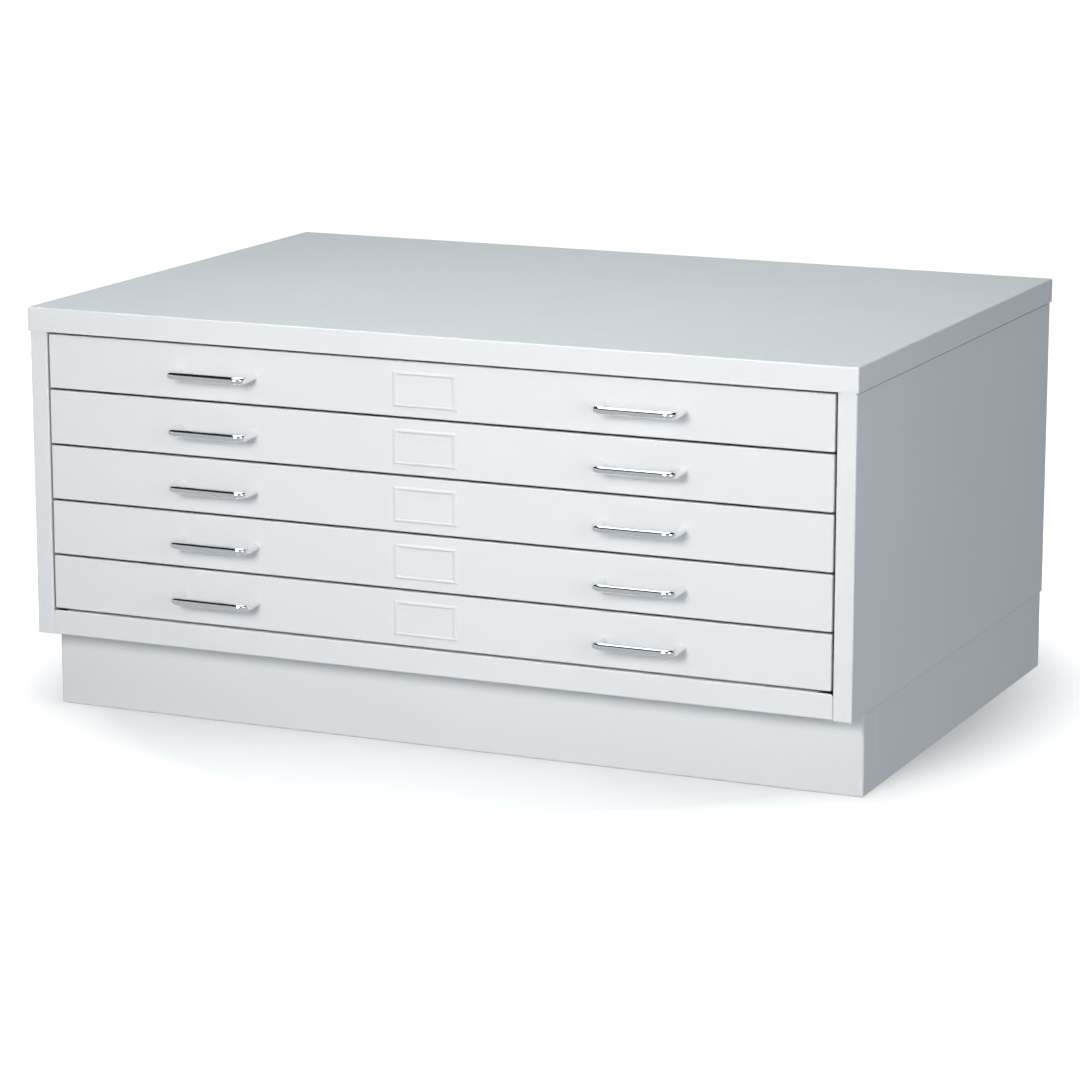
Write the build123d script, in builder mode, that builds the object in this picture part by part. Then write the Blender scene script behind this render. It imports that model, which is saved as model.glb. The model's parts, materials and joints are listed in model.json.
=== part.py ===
from build123d import *
import os

# Flat file cabinet with five wide, shallow drawers on a closed base.
# Millimetres. +X runs along the front, -Y is the front, +Z is up.
# The origin is on the floor, under the middle of the overall box.

# ---- overall sizes ----
CAP_WIDTH = 1035.0
CAP_OVERHANG = 2.0
BODY_WIDTH = CAP_WIDTH - 2 * CAP_OVERHANG
BODY_DEPTH = 705.0
TOTAL_HEIGHT = 492.0
BASE_HEIGHT = 97.0
CAP_SKIRT = 28.5
CAP_LAP = 29.0
CAP_STEP = 0.4
CAP_SEAM = 1.8
REVEAL = 2.0

# ---- sheet metal ----
SHEET = 1.2
THIN_SHEET = 1.0
BEND = 2.0
JOINT_GAP = 0.3

# ---- openings and drawers ----
DRAWERS = 5
SIDES = (-1, 1)
STILE = 22.5
STILE_RETURN = 12.0
RAIL_TOP = 128.0
RAIL_FLANGE = 30.0
RAIL_CORNER = 4.0
RAIL_NOTCH = 6.0
RAIL_END_GAP = 0.1
DRAWER_GAP = 2.6
FRONT_WIDTH = 981.0
FRONT_RIM = 6.0
FRONT_BEND = 1.6
TRAY_WIDTH = 942.0
TRAY_DEPTH = 665.0
TRAY_HEIGHT = 52.0
TRAY_BELOW_CENTRE = 27.0

# ---- pulls ----
PULL_X = 267.0
PULL_SPACING = 96.0
PULL_ROD = 4.6
PULL_REACH = 31.0
PULL_BEND = 10.0
SCREW_HOLE = 2.0
SCREW_SHANK = 1.95
SCREW_IN_PULL = 10.0
SCREW_END_GAP = 1.0
SCREW_HEAD = 4.0
SCREW_HEAD_HEIGHT = 2.4

# ---- label frames ----
LABEL_WIDTH = 82.0
LABEL_HEIGHT = 42.0
LABEL_RISE = 1.8
WINDOW_WIDTH = 66.5
WINDOW_HEIGHT = 31.5
RIDGE_WIDTH = 1.0
CARD_SLOT = 0.8

# ---- drawer rails, runners and rollers ----
RAIL_DEPTH = 13.0
CHANNEL_INSIDE = 20.5
RUNNER_SHEET = 1.5
RUNNER_INNER_X = 486.0
RUNNER_OUTER_X = 498.5
RUNNER_START = 16.0
RUNNER_LENGTH = 674.0
RAIL_START = 18.0
UPRIGHT_WIDTH = 40.0
UPRIGHT_HEIGHT = 358.0
UPRIGHT_STARTS = (62.0, 590.0)
ROLLER_RADIUS = 9.5
ROLLER_BORE = 3.05
ROLLER_EDGE = 1.0
STUD_RADIUS = 3.0
STUD_COLLAR = 5.0
STUD_HOLE = 3.05
RIVET_HEAD = 5.0
RIVET_HEAD_THICK = 1.2
SIDE_PLAY = 0.3
FRONT_ROLLER_X = 475.0
REAR_ROLLER_X = 487.0
FRONT_ROLLER_WIDTH = 8.0
REAR_ROLLER_WIDTH = 7.5
FRONT_ROLLER_Y = 30.0
REAR_ROLLER_Y = 648.0
DRAWER_TRAVEL = 510.0
STOP_TAB = 8.0
STOP_HEIGHT = 15.4

# ---- paper depressor and rear hood ----
PLATE_LENGTH = 76.0
PLATE_LEAD = 3.0
PLATE_LIP = 4.0
PLATE_ANGLE = 30.0
PLATE_DROP = 5.0
PLATE_HALF_WIDTH = 466.0
HINGE_BEHIND_FRONT = 11.2
HINGE_BELOW_RIM = 7.0
HINGE_PIN = 2.5
HINGE_HOLE = 2.55
PIN_HEAD = 4.0
PIN_HEAD_THICK = 1.3
EAR_THICK = 1.2
EAR_RADIUS = 5.0
HOOD_DEPTH = 70.0
HOOD_HEM = 9.0
HOOD_FOLD = 0.9

# ---- base ----
BASE_INSET = 2.0
WALL_GAP = 0.9
BASE_RECESS = 47.0
BASE_WRAP = 35.0
BASE_FLANGE = 25.0
BASE_BEND = 3.0
BASE_SEAM = 0.6
TONGUE_REACH = 20.0
TONGUE_INSET = 6.0
BOLT_X = 505.0
BOLTS_BEHIND_FRONT = (160.0, 540.0)
BOLT_RADIUS = 3.0
BOLT_HEAD = 5.5
BOLT_HEAD_HEIGHT = 4.0
BOLT_LENGTH = 16.0

# ---- derived positions ----
Y_FRONT = (PULL_REACH + PULL_ROD - BODY_DEPTH - CAP_OVERHANG) / 2
Y_BACK = Y_FRONT + BODY_DEPTH
Y_MIDDLE = (Y_FRONT + Y_BACK) / 2
BODY_HALF = BODY_WIDTH / 2
OPENING_TOP = TOTAL_HEIGHT - CAP_SKIRT
PITCH = (OPENING_TOP - RAIL_TOP - DRAWER_GAP) / DRAWERS
FRONT_HEIGHT = PITCH - DRAWER_GAP
UNDER_CAP = TOTAL_HEIGHT - SHEET
PAN_TOP = BASE_HEIGHT + SHEET
BOLT_Y = [Y_FRONT + distance for distance in BOLTS_BEHIND_FRONT]
TRAY_HALF = TRAY_WIDTH / 2
RAIL_HEIGHT = CHANNEL_INSIDE + 2 * SHEET
RUNNER_HEIGHT = CHANNEL_INSIDE + 2 * RUNNER_SHEET
RUNNER_DEPTH = RUNNER_OUTER_X - RUNNER_INNER_X
WEB_INNER_X = RUNNER_OUTER_X - RUNNER_SHEET
LEFT_END = -PULL_SPACING / 2
RIGHT_END = PULL_SPACING / 2

os.makedirs("parts", exist_ok=True)


def drawer_centre(number):
    """Height of the middle of a drawer's face, drawer 1 at the top."""
    return RAIL_TOP + DRAWER_GAP + FRONT_HEIGHT / 2 + (DRAWERS - number) * PITCH


def facing(y):
    """Upright plane at y that faces the front: local x is X, local y is Z."""
    return Plane.XZ.offset(-y)


def bar_x(radius, x_from, x_to, y, z, mode=Mode.ADD):
    """Round bar or hole lying along X."""
    with Locations(Location(((x_from + x_to) / 2, y, z), (0, 90, 0))):
        Cylinder(radius, abs(x_to - x_from), mode=mode)


def bar_y(radius, x, y_from, y_to, z, mode=Mode.ADD):
    """Round bar or hole lying along Y."""
    with Locations(Location((x, (y_from + y_to) / 2, z), (90, 0, 0))):
        Cylinder(radius, abs(y_to - y_from), mode=mode)


def block(x_from, x_to, y_from, y_to, z_from, z_to, mode=Mode.ADD):
    """Plain block between two opposite corners."""
    with Locations(((x_from + x_to) / 2, (y_from + y_to) / 2, (z_from + z_to) / 2)):
        Box(abs(x_to - x_from), abs(y_to - y_from), abs(z_to - z_from), mode=mode)


def folded_pan(x_span, y_span, z_span, sheet, bend, axis, at_end):
    """Box folded from one sheet, with the side at one end of an axis left open."""
    with BuildPart() as pan:
        block(*x_span, *y_span, *z_span)
        open_side = pan.faces().sort_by(axis)[at_end]
        rim = open_side.edges()
        folds = [edge for edge in pan.edges() if not any(edge.is_same(other) for other in rim)]
        fillet(folds, bend)
        offset(amount=-sheet, openings=pan.faces().sort_by(axis)[at_end])
    return pan


def save(builder, name):
    """Label a finished piece and write its STEP file."""
    builder.part.label = name
    export_step(builder.part, f"parts/{name}.step")


# =====================================================================
# Cabinet
# =====================================================================

# Top cap: a shallow folded lid that drops over the body.  Its front flange laps
# round the corner onto each side skirt, so the skirt behind the lap is stepped in.
cap_x = (-CAP_WIDTH / 2, CAP_WIDTH / 2)
cap_y = (Y_FRONT - CAP_OVERHANG, Y_BACK + CAP_OVERHANG)
step_top = TOTAL_HEIGHT - BEND - JOINT_GAP
top_cap = folded_pan(cap_x, cap_y, (OPENING_TOP, TOTAL_HEIGHT), SHEET, BEND, Axis.Z, 0)
with top_cap:
    for side in SIDES:
        block(
            side * (CAP_WIDTH / 2 - CAP_STEP),
            side * CAP_WIDTH / 2,
            cap_y[0] + CAP_LAP,
            cap_y[1] - CAP_LAP,
            OPENING_TOP,
            step_top,
            mode=Mode.SUBTRACT,
        )
        block(
            side * (CAP_WIDTH / 2 - 2 * CAP_STEP),
            side * CAP_WIDTH / 2,
            cap_y[0] + CAP_LAP,
            cap_y[0] + CAP_LAP + CAP_SEAM,
            OPENING_TOP,
            step_top,
            mode=Mode.SUBTRACT,
        )
save(top_cap, "top_cap")

# Side walls: one sheet each, folded into the front stile with its return lip and
# into a back flange.  The top edge is joggled in by one thickness, which leaves a
# narrow reveal under the cap, and the bottom edge stands a little above the base.
joggle_z = OPENING_TOP - REVEAL
wall_bottom = BASE_HEIGHT + WALL_GAP
wall_top = UNDER_CAP - JOINT_GAP
for side, name in zip(SIDES, ("left_side", "right_side")):
    stile_x = side * (BODY_HALF - STILE / 2)
    with BuildPart() as side_wall:
        with BuildSketch(Plane.XY.offset(wall_bottom)):
            with Locations((stile_x, Y_MIDDLE)):
                RectangleRounded(STILE, BODY_DEPTH, BEND)
                RectangleRounded(
                    STILE - 2 * SHEET, BODY_DEPTH - 2 * SHEET, BEND - SHEET, mode=Mode.SUBTRACT
                )
            open_from = Y_FRONT + STILE_RETURN
            open_to = Y_BACK - SHEET
            with Locations((side * (BODY_HALF - STILE), (open_from + open_to) / 2)):
                Rectangle(2 * BEND + JOINT_GAP, open_to - open_from, mode=Mode.SUBTRACT)
        extrude(amount=wall_top - wall_bottom)
        block(
            side * (BODY_HALF - SHEET),
            side * BODY_HALF,
            Y_FRONT,
            Y_BACK,
            joggle_z,
            wall_top,
            mode=Mode.SUBTRACT,
        )
        block(
            side * (BODY_HALF - 2 * SHEET),
            side * (BODY_HALF - SHEET),
            Y_FRONT + SHEET,
            Y_BACK - SHEET,
            joggle_z - SHEET,
            wall_top,
        )
    save(side_wall, name)

# Back panel: a flat sheet welded inside the back flanges.
back_half = BODY_HALF - 2 * SHEET - JOINT_GAP
back_inner_y = Y_BACK - SHEET - THIN_SHEET
with BuildPart() as back_panel:
    block(-back_half, back_half, back_inner_y, Y_BACK - SHEET, BASE_HEIGHT, UNDER_CAP)
save(back_panel, "back_panel")

# Bottom pan: the floor of the body, standing on the flanges of the base.
pan_half = BODY_HALF - SHEET
pan_front_y = Y_FRONT + STILE_RETURN + SHEET
with BuildPart() as bottom_pan:
    block(-pan_half, pan_half, pan_front_y, back_inner_y, BASE_HEIGHT, PAN_TOP)
    for side in SIDES:
        for bolt_y in BOLT_Y:
            with Locations((side * BOLT_X, bolt_y, BASE_HEIGHT + SHEET / 2)):
                Cylinder(BOLT_RADIUS + JOINT_GAP, 2 * SHEET, mode=Mode.SUBTRACT)
save(bottom_pan, "bottom_pan")

# Bottom rail: a channel between the stiles, under the lowest drawer.  Its face has
# rounded upper corners, and its flanges stop short of the ends.
rail_half = BODY_HALF - STILE - RAIL_END_GAP
rail_height = RAIL_TOP - PAN_TOP
rail_centre = (PAN_TOP + RAIL_TOP) / 2
rail_y = (Y_FRONT, Y_FRONT + RAIL_FLANGE)
with BuildPart() as bottom_rail:
    with BuildSketch(Plane.YZ.offset(-rail_half)):
        with Locations((sum(rail_y) / 2, rail_centre)):
            RectangleRounded(RAIL_FLANGE, rail_height, BEND)
            RectangleRounded(
                RAIL_FLANGE - 2 * SHEET,
                rail_height - 2 * SHEET,
                BEND - SHEET,
                mode=Mode.SUBTRACT,
            )
        with Locations((rail_y[1] - BEND / 2, rail_centre)):
            Rectangle(BEND, rail_height, mode=Mode.SUBTRACT)
    extrude(amount=2 * rail_half)
    for side in SIDES:
        block(
            side * (rail_half - RAIL_NOTCH - STILE_RETURN),
            side * rail_half,
            Y_FRONT + SHEET,
            rail_y[1],
            PAN_TOP,
            RAIL_TOP,
            mode=Mode.SUBTRACT,
        )
        corner = (side * (rail_half - RAIL_CORNER), RAIL_TOP - RAIL_CORNER)
        with BuildSketch(facing(Y_FRONT + BEND)):
            with Locations((corner[0] + side * RAIL_CORNER, corner[1] + RAIL_CORNER)):
                Rectangle(2 * RAIL_CORNER, 2 * RAIL_CORNER)
            with Locations(corner):
                Circle(RAIL_CORNER, mode=Mode.SUBTRACT)
        extrude(amount=2 * BEND, mode=Mode.SUBTRACT)
save(bottom_rail, "bottom_rail")

# =====================================================================
# Base
# =====================================================================
base_front_y = Y_FRONT + BASE_RECESS
wrap_end_y = base_front_y + BASE_WRAP
base_half = BODY_HALF - BASE_INSET
base_x = (-base_half, base_half)

# Base front: recessed panel that wraps round both corners onto the sides.
base_front = folded_pan(
    base_x, (base_front_y, wrap_end_y), (0, BASE_HEIGHT), SHEET, BASE_BEND, Axis.Y, -1
)
save(base_front, "base_front")

# Base sides: pans that open inwards, each with a tongue tucked behind the wrap of
# the base front.
for side, name in zip(SIDES, ("base_left_side", "base_right_side")):
    side_x = sorted((side * base_half, side * (base_half - BASE_FLANGE)))
    base_side = folded_pan(
        side_x,
        (wrap_end_y + BASE_SEAM, Y_BACK),
        (0, BASE_HEIGHT),
        SHEET,
        BASE_BEND,
        Axis.X,
        0 if side > 0 else -1,
    )
    with base_side:
        block(
            side * (base_half - SHEET),
            side * (base_half - 2 * SHEET),
            wrap_end_y - TONGUE_REACH,
            wrap_end_y + BASE_SEAM + SHEET,
            TONGUE_INSET,
            BASE_HEIGHT - TONGUE_INSET,
        )
        for bolt_y in BOLT_Y:
            with Locations((side * BOLT_X, bolt_y, BASE_HEIGHT - SHEET / 2)):
                Cylinder(BOLT_RADIUS + JOINT_GAP, 2 * SHEET, mode=Mode.SUBTRACT)
    save(base_side, name)

# Base back: a flat sheet welded inside the rear flanges of the base sides.
base_back_half = base_half - BASE_BEND - JOINT_GAP
with BuildPart() as base_back:
    block(
        -base_back_half,
        base_back_half,
        back_inner_y,
        Y_BACK - SHEET,
        BASE_BEND,
        BASE_HEIGHT - BASE_BEND,
    )
save(base_back, "base_back")

# Four hexagon bolts hold the body's floor down to the base.
with BuildPart() as base_bolts:
    for side in SIDES:
        for bolt_y in BOLT_Y:
            with BuildSketch(Plane.XY.offset(PAN_TOP)):
                with Locations((side * BOLT_X, bolt_y)):
                    RegularPolygon(BOLT_HEAD, 6)
            extrude(amount=BOLT_HEAD_HEIGHT)
            with BuildSketch(Plane.XY.offset(PAN_TOP - BOLT_LENGTH)):
                with Locations((side * BOLT_X, bolt_y)):
                    Circle(BOLT_RADIUS)
            extrude(amount=BOLT_LENGTH)
save(base_bolts, "base_bolts")

# =====================================================================
# Runners, uprights and front rollers
# =====================================================================
front_roller_y = Y_FRONT + FRONT_ROLLER_Y
rear_roller_y = Y_FRONT + REAR_ROLLER_Y
runner_start_y = Y_FRONT + RUNNER_START
open_stop_y = rear_roller_y - DRAWER_TRAVEL - ROLLER_RADIUS - JOINT_GAP - RUNNER_SHEET
closed_stop_y = rear_roller_y + ROLLER_RADIUS + JOINT_GAP

# Runners: channels that open towards the drawer, one for each drawer on each side.
# Two tabs bent from the web stop the rear roller when the drawer is open or closed.
for side, name in zip(SIDES, ("left_runners", "right_runners")):
    with BuildPart() as runners:
        for number in range(1, DRAWERS + 1):
            height = drawer_centre(number)
            middle_x = side * (RUNNER_INNER_X + RUNNER_OUTER_X) / 2
            with BuildSketch(facing(runner_start_y)):
                with Locations((middle_x, height)):
                    Rectangle(RUNNER_DEPTH, RUNNER_HEIGHT)
                with Locations((middle_x - side * RUNNER_SHEET, height)):
                    Rectangle(RUNNER_DEPTH, CHANNEL_INSIDE, mode=Mode.SUBTRACT)
            extrude(amount=-RUNNER_LENGTH)
            for stop_y in (open_stop_y, closed_stop_y):
                block(
                    side * (WEB_INNER_X - STOP_TAB),
                    side * WEB_INNER_X,
                    stop_y,
                    stop_y + RUNNER_SHEET,
                    height - CHANNEL_INSIDE / 2,
                    height - CHANNEL_INSIDE / 2 + STOP_HEIGHT,
                )
            web_x = side * (RUNNER_OUTER_X - RUNNER_SHEET / 2)
            hole_x = (web_x - RUNNER_SHEET, web_x + RUNNER_SHEET)
            bar_x(STUD_HOLE, *hole_x, front_roller_y, height, mode=Mode.SUBTRACT)
    save(runners, name)

# Uprights: four channels that stand on the body's floor, welded to the side walls,
# and carry the runners.
upright_depth = BODY_HALF - SHEET - RUNNER_OUTER_X
with BuildPart() as runner_uprights:
    for side in SIDES:
        for start in UPRIGHT_STARTS:
            middle_x = side * (RUNNER_OUTER_X + upright_depth / 2)
            middle_y = Y_FRONT + start + UPRIGHT_WIDTH / 2
            with BuildSketch(Plane.XY.offset(PAN_TOP)):
                with Locations((middle_x, middle_y)):
                    Rectangle(upright_depth, UPRIGHT_WIDTH)
                with Locations((middle_x + side * SHEET, middle_y)):
                    Rectangle(upright_depth, UPRIGHT_WIDTH - 2 * SHEET, mode=Mode.SUBTRACT)
            extrude(amount=UPRIGHT_HEIGHT)
save(runner_uprights, "runner_uprights")


def roller_stud(side, web_faces, roller_span, y, z):
    """Riveted stud along X: rivet head, tail in the web, collar, shank and end head."""
    tail_from, tail_to = web_faces
    near, far = roller_span
    step = 1 if near > tail_to else -1
    bar_x(RIVET_HEAD, side * (tail_from - step * RIVET_HEAD_THICK), side * tail_from, y, z)
    bar_x(STUD_RADIUS, side * tail_from, side * (far + step * SIDE_PLAY), y, z)
    bar_x(STUD_COLLAR, side * tail_to, side * (near - step * SIDE_PLAY), y, z)
    head_from = far + step * SIDE_PLAY
    bar_x(RIVET_HEAD, side * head_from, side * (head_from + step * RIVET_HEAD_THICK), y, z)


# Studs of the front rollers, riveted through the runner webs.
front_span = (FRONT_ROLLER_X + FRONT_ROLLER_WIDTH, FRONT_ROLLER_X)
with BuildPart() as front_roller_studs:
    for number in range(1, DRAWERS + 1):
        for side in SIDES:
            roller_stud(
                side,
                (RUNNER_OUTER_X, WEB_INNER_X),
                front_span,
                front_roller_y,
                drawer_centre(number),
            )
save(front_roller_studs, "front_roller_studs")


def rollers(inner_x, width, y, z):
    """Pair of plain rollers, left and right, with rounded rims and a bored centre."""
    with BuildPart() as pair:
        for side in SIDES:
            bar_x(ROLLER_RADIUS, side * inner_x, side * (inner_x + width), y, z)
        fillet(pair.edges().filter_by(GeomType.CIRCLE), ROLLER_EDGE)
        for side in SIDES:
            bar_x(
                ROLLER_BORE,
                side * (inner_x - BEND),
                side * (inner_x + width + BEND),
                y,
                z,
                mode=Mode.SUBTRACT,
            )
    return pair


for number in range(1, DRAWERS + 1):
    front_rollers = rollers(
        FRONT_ROLLER_X, FRONT_ROLLER_WIDTH, front_roller_y, drawer_centre(number)
    )
    save(front_rollers, f"front_rollers_{number}")

# =====================================================================
# Drawers
# =====================================================================
tray_y = (Y_FRONT + SHEET, Y_FRONT + SHEET + TRAY_DEPTH)
rail_start_y = Y_FRONT + RAIL_START
hinge_y = Y_FRONT + HINGE_BEHIND_FRONT
pull_legs = [side * PULL_X + end for side in SIDES for end in (LEFT_END, RIGHT_END)]
rail_web = (TRAY_HALF - THIN_SHEET, TRAY_HALF + SHEET)
rear_span = (REAR_ROLLER_X, REAR_ROLLER_X + REAR_ROLLER_WIDTH)
ear_inner_x = PLATE_HALF_WIDTH - EAR_THICK

for number in range(1, DRAWERS + 1):
    centre = drawer_centre(number)
    tray_bottom = centre - TRAY_BELOW_CENTRE
    tray_top = tray_bottom + TRAY_HEIGHT
    hinge_z = tray_top - HINGE_BELOW_RIM
    prefix = f"drawer_{number}_"

    # Drawer front: one sheet folded back on all four edges.
    drawer_front = folded_pan(
        (-FRONT_WIDTH / 2, FRONT_WIDTH / 2),
        (Y_FRONT, Y_FRONT + FRONT_RIM),
        (centre - FRONT_HEIGHT / 2, centre + FRONT_HEIGHT / 2),
        SHEET,
        FRONT_BEND,
        Axis.Y,
        -1,
    )
    with drawer_front:
        for leg_x in pull_legs:
            bar_y(SCREW_HOLE, leg_x, Y_FRONT - SHEET, Y_FRONT + 2 * SHEET, centre, mode=Mode.SUBTRACT)
    save(drawer_front, prefix + "front")

    # Tray: folded bottom and walls, with a rail channel welded along each side.
    tray = folded_pan(
        (-TRAY_HALF, TRAY_HALF), tray_y, (tray_bottom, tray_top), THIN_SHEET, BEND, Axis.Z, -1
    )
    with tray:
        for side in SIDES:
            with BuildSketch(facing(rail_start_y)) as rail_section:
                with Locations((side * (TRAY_HALF + RAIL_DEPTH / 2), centre)):
                    Rectangle(RAIL_DEPTH, RAIL_HEIGHT)
                with Locations((side * (TRAY_HALF + RAIL_DEPTH / 2 + SHEET), centre)):
                    Rectangle(RAIL_DEPTH, CHANNEL_INSIDE, mode=Mode.SUBTRACT)
            extrude(rail_section.sketch, amount=-(tray_y[1] - BEND - rail_start_y))
            bar_x(
                STUD_HOLE,
                side * (TRAY_HALF - BEND),
                side * (TRAY_HALF + BEND),
                rear_roller_y,
                centre,
                mode=Mode.SUBTRACT,
            )
            bar_x(
                HINGE_HOLE,
                side * (TRAY_HALF - BEND),
                side * (TRAY_HALF + BEND),
                hinge_y,
                hinge_z,
                mode=Mode.SUBTRACT,
            )
        for leg_x in pull_legs:
            bar_y(SCREW_HOLE, leg_x, Y_FRONT, Y_FRONT + 3 * SHEET, centre, mode=Mode.SUBTRACT)
    save(tray, prefix + "tray")

    # Pulls: bent round bar with two legs, tapped for screws.
    with BuildPart() as pulls:
        for side in SIDES:
            left_x = side * PULL_X + LEFT_END
            right_x = side * PULL_X + RIGHT_END
            with BuildLine(Plane.XY.offset(centre)) as bend_line:
                FilletPolyline(
                    (left_x, Y_FRONT),
                    (left_x, Y_FRONT - PULL_REACH),
                    (right_x, Y_FRONT - PULL_REACH),
                    (right_x, Y_FRONT),
                    radius=PULL_BEND,
                )
            with BuildSketch(facing(Y_FRONT)) as bar_section:
                with Locations((left_x, centre)):
                    Circle(PULL_ROD)
            sweep(bar_section.sketch, path=bend_line.line)
        for leg_x in pull_legs:
            bar_y(SCREW_HOLE, leg_x, Y_FRONT, Y_FRONT - SCREW_IN_PULL, centre, mode=Mode.SUBTRACT)
    save(pulls, prefix + "pulls")

    # Label frame: a raised, bevelled rim with a slot for the card behind its lower edge.
    with BuildPart() as label_frame:
        for (base_width, base_height), ridge_side, mode in (
            ((LABEL_WIDTH, LABEL_HEIGHT), 1, Mode.ADD),
            ((WINDOW_WIDTH, WINDOW_HEIGHT), -1, Mode.SUBTRACT),
        ):
            with BuildSketch(facing(Y_FRONT)):
                with Locations((0, centre)):
                    Rectangle(base_width, base_height)
            with BuildSketch(facing(Y_FRONT - LABEL_RISE)):
                with Locations((0, centre)):
                    Rectangle(
                        (LABEL_WIDTH + WINDOW_WIDTH) / 2 + ridge_side * RIDGE_WIDTH,
                        (LABEL_HEIGHT + WINDOW_HEIGHT) / 2 + ridge_side * RIDGE_WIDTH,
                    )
            loft(mode=mode)
        slot_z = centre - WINDOW_HEIGHT / 2
        block(
            -WINDOW_WIDTH / 2,
            WINDOW_WIDTH / 2,
            Y_FRONT - CARD_SLOT,
            Y_FRONT,
            slot_z - 2 * CARD_SLOT,
            slot_z + CARD_SLOT,
            mode=Mode.SUBTRACT,
        )
    save(label_frame, prefix + "label_frame")

    # Rear hood: keeps sheets from curling over the back of the tray.  A plate welded
    # onto the walls, with its front edge hemmed back on itself.
    hood_front = tray_y[1] - HOOD_DEPTH
    with BuildPart() as rear_hood:
        with BuildSketch(Plane.YZ.offset(-TRAY_HALF)):
            with Locations((hood_front + HOOD_DEPTH / 2, tray_top + THIN_SHEET / 2)):
                Rectangle(HOOD_DEPTH, THIN_SHEET)
            with Locations((hood_front + HOOD_HEM / 2, tray_top + THIN_SHEET)):
                Rectangle(HOOD_HEM, 2 * THIN_SHEET)
        extrude(amount=TRAY_WIDTH)
        fold = rear_hood.edges().filter_by(Axis.X).group_by(Axis.Y)[0]
        fillet(fold, HOOD_FOLD)
    save(rear_hood, prefix + "rear_hood")

    # Depressor: hinged plate that lies on the sheets at the front of the tray.
    down_the_plate = Vector(0, 1, 0).rotate(Axis.X, -PLATE_ANGLE)
    plate_plane = Plane(origin=(0, hinge_y, hinge_z), x_dir=down_the_plate, z_dir=(1, 0, 0))
    with BuildPart() as depressor:
        with BuildSketch(plate_plane.offset(-PLATE_HALF_WIDTH)) as plate_section:
            with Locations(((PLATE_LENGTH - PLATE_LEAD) / 2, -PLATE_DROP - THIN_SHEET / 2)):
                Rectangle(PLATE_LENGTH + PLATE_LEAD, THIN_SHEET)
            lip_centre = -PLATE_DROP - THIN_SHEET + PLATE_LIP / 2
            with Locations((PLATE_LENGTH - THIN_SHEET / 2, lip_centre)):
                Rectangle(THIN_SHEET, PLATE_LIP)
        extrude(amount=2 * PLATE_HALF_WIDTH)
        for side in SIDES:
            ear_x = side * PLATE_HALF_WIDTH
            ear_from = min(ear_x, ear_x - side * EAR_THICK)
            with BuildSketch(plate_plane.offset(ear_from)) as ear_section:
                Circle(EAR_RADIUS)
                with Locations((0, -PLATE_DROP / 2)):
                    Rectangle(2 * EAR_RADIUS, PLATE_DROP)
                Circle(HINGE_HOLE, mode=Mode.SUBTRACT)
            extrude(ear_section.sketch, amount=EAR_THICK)
    save(depressor, prefix + "depressor")

    # Rear rollers run in the cabinet's runners.
    rear_rollers = rollers(REAR_ROLLER_X, REAR_ROLLER_WIDTH, rear_roller_y, centre)
    save(rear_rollers, prefix + "rear_rollers")

    # Fasteners: four pull screws, two roller studs and two hinge pins.
    with BuildPart() as fasteners:
        screw_seat = Y_FRONT + SHEET + THIN_SHEET
        screw_tip = Y_FRONT - SCREW_IN_PULL + SCREW_END_GAP
        for leg_x in pull_legs:
            bar_y(SCREW_HEAD, leg_x, screw_seat, screw_seat + SCREW_HEAD_HEIGHT, centre)
            bar_y(SCREW_SHANK, leg_x, screw_seat, screw_tip, centre)
        for side in SIDES:
            roller_stud(side, rail_web, rear_span, rear_roller_y, centre)
            end_x = ear_inner_x - SIDE_PLAY
            for radius, x_from, x_to in (
                (PIN_HEAD, TRAY_HALF, TRAY_HALF + PIN_HEAD_THICK),
                (HINGE_PIN, TRAY_HALF, end_x),
                (PIN_HEAD, TRAY_HALF - THIN_SHEET, PLATE_HALF_WIDTH + SIDE_PLAY),
                (PIN_HEAD, end_x, end_x - PIN_HEAD_THICK),
            ):
                bar_x(radius, side * x_from, side * x_to, hinge_y, hinge_z)
    save(fasteners, prefix + "fasteners")
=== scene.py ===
import json
import math

import bpy
from mathutils import Matrix, Vector

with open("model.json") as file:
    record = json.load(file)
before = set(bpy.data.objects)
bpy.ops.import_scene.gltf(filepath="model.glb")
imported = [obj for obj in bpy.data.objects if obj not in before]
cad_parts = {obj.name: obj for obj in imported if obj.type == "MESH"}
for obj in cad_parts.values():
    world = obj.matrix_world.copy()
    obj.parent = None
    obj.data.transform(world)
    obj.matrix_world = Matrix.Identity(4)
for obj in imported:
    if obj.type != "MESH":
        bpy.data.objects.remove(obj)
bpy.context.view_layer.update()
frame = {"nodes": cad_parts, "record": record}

NODES = frame["nodes"]

# ---- camera: angles in degrees, places in metres, lens and sensor in millimetres ----
CAMERA_AZIMUTH = 24.140
CAMERA_ELEVATION = 12.285
CAMERA_PLACE = (1.9058, -4.2704, 1.2084)
CAMERA_LENS = 131.21
CAMERA_SENSOR = 36.0
CAMERA_FARTHEST = 200.0

# ---- light ----
SOFTBOXES = (
    # name, place, target, size, power in watts, spread in degrees, colour
    ("key", (0.05, -3.30, 1.35), (0.03, -0.33, 0.30), (1.2, 0.9), 11.4, 70, (1.0, 0.96, 0.93)),
    ("overhead", (0.0, -0.35, 2.1), (0.0, -0.25, 0.5), (1.8, 2.2), 34.0, 180, (0.89, 0.965, 1.0)),
    ("left_fill", (-2.1, -2.4, 1.15), (-0.25, -0.35, 0.4), (1.1, 1.1), 1.5, 180, (1.0, 1.0, 1.0)),
    ("side_fill", (1.6, -1.5, 0.7), (0.5, -0.3, 0.24), (0.6, 0.6), 8.0, 180, (0.94, 0.98, 1.0)),
)
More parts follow.
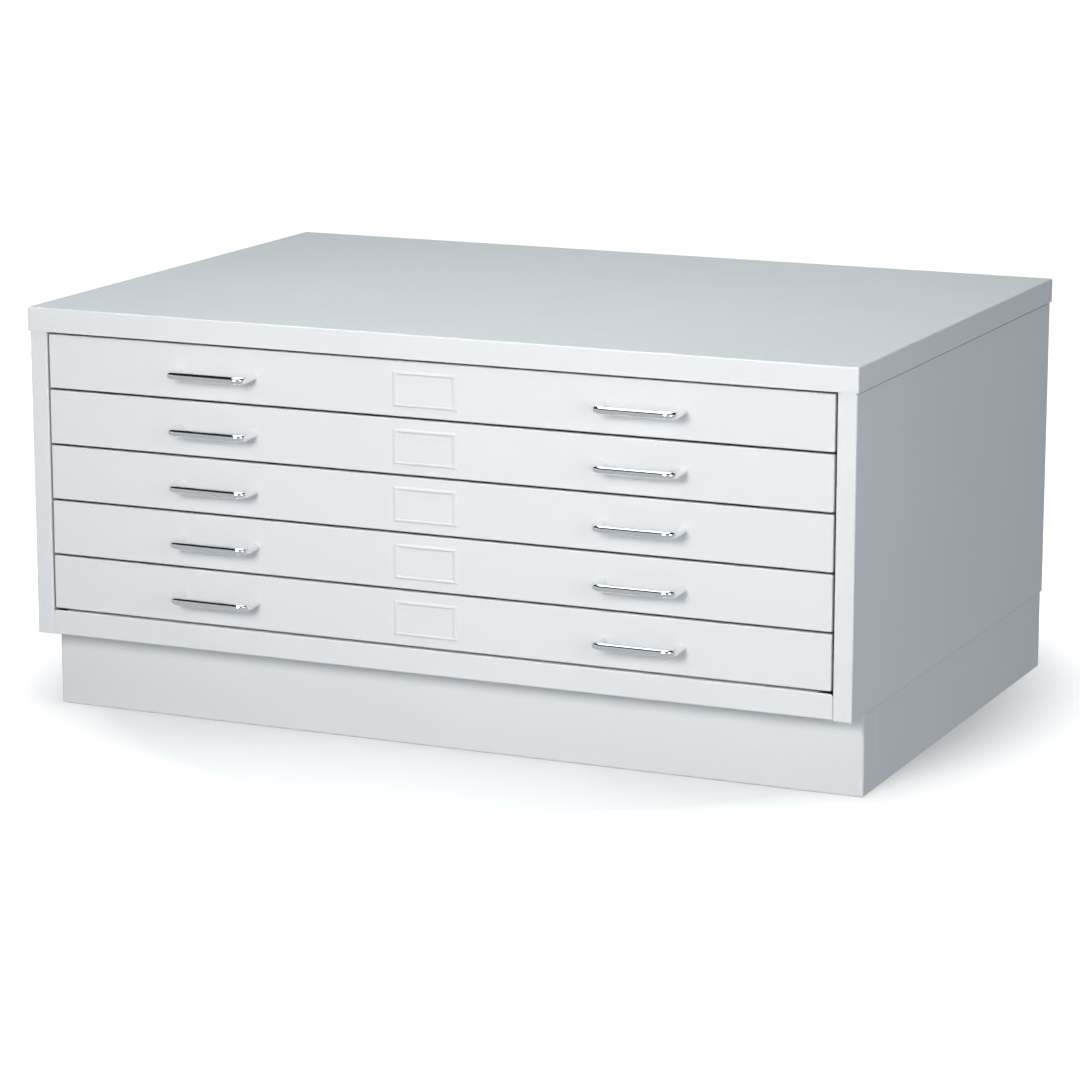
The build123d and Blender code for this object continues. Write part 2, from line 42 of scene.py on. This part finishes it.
# Colours of the sky by height: 0 is straight down, 0.5 the horizon and 1 straight up. The light
# lower part lights the cabinet's side, and the dark upper part gives the pulls their dark line.
SKY_LOW = (0.47, 0.505, 0.54)
SKY_MIDDLE = (0.53, 0.565, 0.60)
SKY_HIGH = (0.02, 0.02, 0.02)
SKY = (
    (0.00, SKY_LOW),
    (0.49, SKY_LOW),
    (0.51, SKY_MIDDLE),
    (0.62, SKY_MIDDLE),
    (0.72, SKY_HIGH),
    (1.00, SKY_HIGH),
)
SKY_STRENGTH = 1.0
# A direction's height runs from -1 to 1, and the sky's table from 0 to 1.
SKY_LOWEST = -1.0

# ---- floor: a painted glow that rises with distance, from painted shade beside the object to the studio's white far away ----
FLOOR_HALF = 40.0
FLOOR_COLOUR = (0.78, 0.78, 0.78, 1)
FLOOR_ROUGHNESS = 0.9
FLOOR_SPECULAR = 0.1
FLOOR_PAINTED_GLOW_COLOUR = (1, 1, 1, 1)
FLOOR_PAINTED_GLOW = (0.16, 1.0)
FLOOR_PAINTED_GLOW_REACH = (0.52, 0.80)

# Most of a noise's values lie in this range, which is spread over the whole of a look.
NOISE_RANGE = (0.3, 0.7)


class Recipe:
    """A material's node tree, with short calls to add and link nodes."""

    def __init__(self, name):
        self.material = bpy.data.materials.new(name)
        self.material.use_nodes = True
        self.tree = self.material.node_tree
        self.shader = self.tree.nodes["Principled BSDF"]
        self.coords = self.add("ShaderNodeTexCoord").outputs["Object"]

    def add(self, kind, **sockets):
        """A new node, with the values of its sockets (an underscore stands for a space)."""
        node = self.tree.nodes.new(kind)
        for key, value in sockets.items():
            node.inputs[key.replace("_", " ")].default_value = value
        return node

    def link(self, out, into):
        self.tree.links.new(out, into)

    def set(self, **sockets):
        """Uniform values, set on the shader's own sockets."""
        for key, value in sockets.items():
            self.shader.inputs[key.replace("_", " ")].default_value = value

    def drive(self, socket, out):
        """Link a node's output to one of the shader's sockets."""
        self.link(out, self.shader.inputs[socket])

    def noise(self, scale, detail, stretch=None):
        """Noise in object coordinates, which stretch scales differently along each axis."""
        node = self.add("ShaderNodeTexNoise", Scale=scale, Detail=detail)
        vector = self.coords
        if stretch:
            mapping = self.add("ShaderNodeMapping", Scale=stretch)
            self.link(self.coords, mapping.inputs["Vector"])
            vector = mapping.outputs["Vector"]
        self.link(vector, node.inputs["Vector"])
        return node.outputs["Fac"]

    def spread(self, value, results, values=NOISE_RANGE):
        """A value mapped from the range of values onto the range of results."""
        node = self.tree.nodes.new("ShaderNodeMapRange")
        node.inputs["From Min"].default_value, node.inputs["From Max"].default_value = values
        node.inputs["To Min"].default_value, node.inputs["To Max"].default_value = results
        self.link(value, node.inputs["Value"])
        return node.outputs["Result"]

    def blend_colours(self, value, colours):
        """Two colours blended by a noise."""
        ramp = self.tree.nodes.new("ShaderNodeValToRGB")
        for stop, place, colour in zip(ramp.color_ramp.elements, NOISE_RANGE, colours):
            stop.position = place
            stop.color = colour
        self.link(value, ramp.inputs["Fac"])
        return ramp.outputs["Color"]

    def bump(self, layers):
        """Bumps stacked one over the other: (height, depth in metres)."""
        normal = None
        for height, depth in layers:
            node = self.add("ShaderNodeBump", Distance=depth)
            self.link(height, node.inputs["Height"])
            if normal:
                self.link(normal, node.inputs["Normal"])
            normal = node.outputs["Normal"]
        self.drive("Normal", normal)


def finish(name, colour, shades, tone, gloss, roughness, bumps, **sockets):
    """A material whose tone, roughness and surface vary with noise.

    tone and gloss are noises, as (scale per metre, detail) and maybe a stretch. shades are the
    factors of the colour, and roughness the values, at the two ends of their noise. bumps are
    (noise, depth in metres). The rest are uniform values of the shader's sockets.
    """
    recipe = Recipe(name)
    recipe.set(**sockets)
    ends = [(*[channel * factor for channel in colour], 1) for factor in shades]
    recipe.drive("Base Color", recipe.blend_colours(recipe.noise(*tone), ends))
    recipe.drive("Roughness", recipe.spread(recipe.noise(*gloss), roughness))
    recipe.bump([(recipe.noise(*pattern), depth) for pattern, depth in bumps])
    return recipe.material


# The grain of the brushed steel runs along the runners, which is the Y axis.
ALONG_Y = (1.0, 0.05, 1.0)

# The materials, by the record's material slot.
FINISHES = {
    # Baked enamel on sheet steel: even tone, slow ripple of the sheet, fine orange peel.
    "enamel": finish(
        "enamel",
        colour=(0.655, 0.670, 0.680),
        shades=(0.985, 1.015),
        tone=(3.0, 2.0),
        gloss=(9.0, 4.0),
        roughness=(0.38, 0.47),
        bumps=[((5.0, 1.0), 0.0011), ((900.0, 2.0), 0.000035)],
        Coat_Weight=0.08,
        Coat_Roughness=0.30,
    ),
    # Polished chrome, with a faint haze and the slightest waviness of bent bar.
    "chrome": finish(
        "chrome",
        colour=(0.88, 0.89, 0.90),
        shades=(0.97, 1.0),
        tone=(60.0, 3.0),
        gloss=(60.0, 3.0),
        roughness=(0.045, 0.09),
        bumps=[((45.0, 1.0), 0.00012)],
        Metallic=1.0,
    ),
    # Zinc-plated rolled steel, cloudy in tone and brushed along its length.
    "zinc_steel": finish(
        "zinc_steel",
        colour=(0.62, 0.63, 0.65),
        shades=(0.86, 1.0),
        tone=(35.0, 4.0),
        gloss=(700.0, 2.0, ALONG_Y),
        roughness=(0.30, 0.46),
        bumps=[((700.0, 2.0, ALONG_Y), 0.00002)],
        Metallic=1.0,
    ),
    # Moulded nylon, matt with a fine grain.
    "roller": finish(
        "nylon",
        colour=(0.80, 0.79, 0.74),
        shades=(0.94, 1.0),
        tone=(160.0, 3.0),
        gloss=(160.0, 3.0),
        roughness=(0.45, 0.58),
        bumps=[((1500.0, 2.0), 0.00003)],
    ),
}

SLOT_OF = {entry["node"]: entry["material_slot"] for entry in frame["record"]["subparts"]}
for node, thing in NODES.items():
    material = FINISHES[SLOT_OF[node]]
    if thing.material_slots:
        for place in thing.material_slots:
            place.link = "OBJECT"
            place.material = material
    else:
        thing.data.materials.append(material)


# ---- floor: hidden from the cabinet's shading and from the chrome ----
def make_floor():
    mesh = bpy.data.meshes.new("floor")
    corners = [(-1, -1), (1, -1), (1, 1), (-1, 1)]
    points = [(x * FLOOR_HALF, y * FLOOR_HALF, 0.0) for x, y in corners]
    mesh.from_pydata(points, [], [(0, 1, 2, 3)])
    floor = bpy.data.objects.new("floor", mesh)
    bpy.context.scene.collection.objects.link(floor)
    paper = Recipe("floor")
    paper.set(
        Base_Color=FLOOR_COLOUR,
        Roughness=FLOOR_ROUGHNESS,
        Specular_IOR_Level=FLOOR_SPECULAR,
        Emission_Color=FLOOR_PAINTED_GLOW_COLOUR,
    )
    # Painted light: the emission grows with distance from the object. The floor beside the object
    # is left dimmer as painted shade, and the far floor is painted white.
    away = paper.add("ShaderNodeVectorMath")
    away.operation = "LENGTH"
    paper.link(paper.coords, away.inputs[0])
    painted_glow = paper.spread(away.outputs["Value"], FLOOR_PAINTED_GLOW, FLOOR_PAINTED_GLOW_REACH)
    paper.drive("Emission Strength", painted_glow)
    mesh.materials.append(paper.material)
    floor.visible_diffuse = False
    floor.visible_glossy = False


# ---- light ----
def make_sky():
    world = bpy.data.worlds.new("studio")
    world.use_nodes = True
    sky = world.node_tree
    direction = sky.nodes.new("ShaderNodeTexCoord").outputs["Generated"]
    split = sky.nodes.new("ShaderNodeSeparateXYZ")
    height_range = sky.nodes.new("ShaderNodeMapRange")
    height_range.inputs["From Min"].default_value = SKY_LOWEST
    ramp = sky.nodes.new("ShaderNodeValToRGB")
    stops = ramp.color_ramp.elements
    for index, (height, colour) in enumerate(SKY):
        stop = stops[index] if index < 2 else stops.new(height)
        stop.position = height
        stop.color = (*colour, 1)
    background = sky.nodes["Background"]
    sky.links.new(direction, split.inputs["Vector"])
    sky.links.new(split.outputs["Z"], height_range.inputs["Value"])
    sky.links.new(height_range.outputs["Result"], ramp.inputs["Fac"])
    sky.links.new(ramp.outputs["Color"], background.inputs["Color"])
    background.inputs["Strength"].default_value = SKY_STRENGTH
    bpy.context.scene.world = world


def make_softbox(name, place, target, size, power, spread, colour):
    light = bpy.data.lights.new(name, "AREA")
    light.shape = "RECTANGLE"
    light.size, light.size_y = size
    light.energy = power
    light.spread = math.radians(spread)
    light.color = colour
    lamp = bpy.data.objects.new(name, light)
    bpy.context.scene.collection.objects.link(lamp)
    aim = Vector(target) - Vector(place)
    turn = aim.to_track_quat("-Z", "Y").to_matrix().to_4x4()
    lamp.matrix_world = Matrix.Translation(place) @ turn


# ---- camera ----
def make_camera():
    azimuth = math.radians(CAMERA_AZIMUTH)
    elevation = math.radians(CAMERA_ELEVATION)
    level = math.cos(elevation)
    right = Vector((math.cos(azimuth), math.sin(azimuth), 0))
    back = Vector((math.sin(azimuth) * level, -math.cos(azimuth) * level, math.sin(elevation)))
    up = back.cross(right)
    data = bpy.data.cameras.new("camera")
    data.sensor_width = CAMERA_SENSOR
    data.lens = CAMERA_LENS
    data.clip_end = CAMERA_FARTHEST
    camera = bpy.data.objects.new("camera", data)
    turn = Matrix((right, up, back)).transposed().to_4x4()
    camera.matrix_world = Matrix.Translation(CAMERA_PLACE) @ turn
    bpy.context.scene.collection.objects.link(camera)
    bpy.context.scene.camera = camera


make_floor()
make_sky()
for softbox in SOFTBOXES:
    make_softbox(*softbox)
make_camera()
bpy.context.scene.view_settings.view_transform = "Standard"
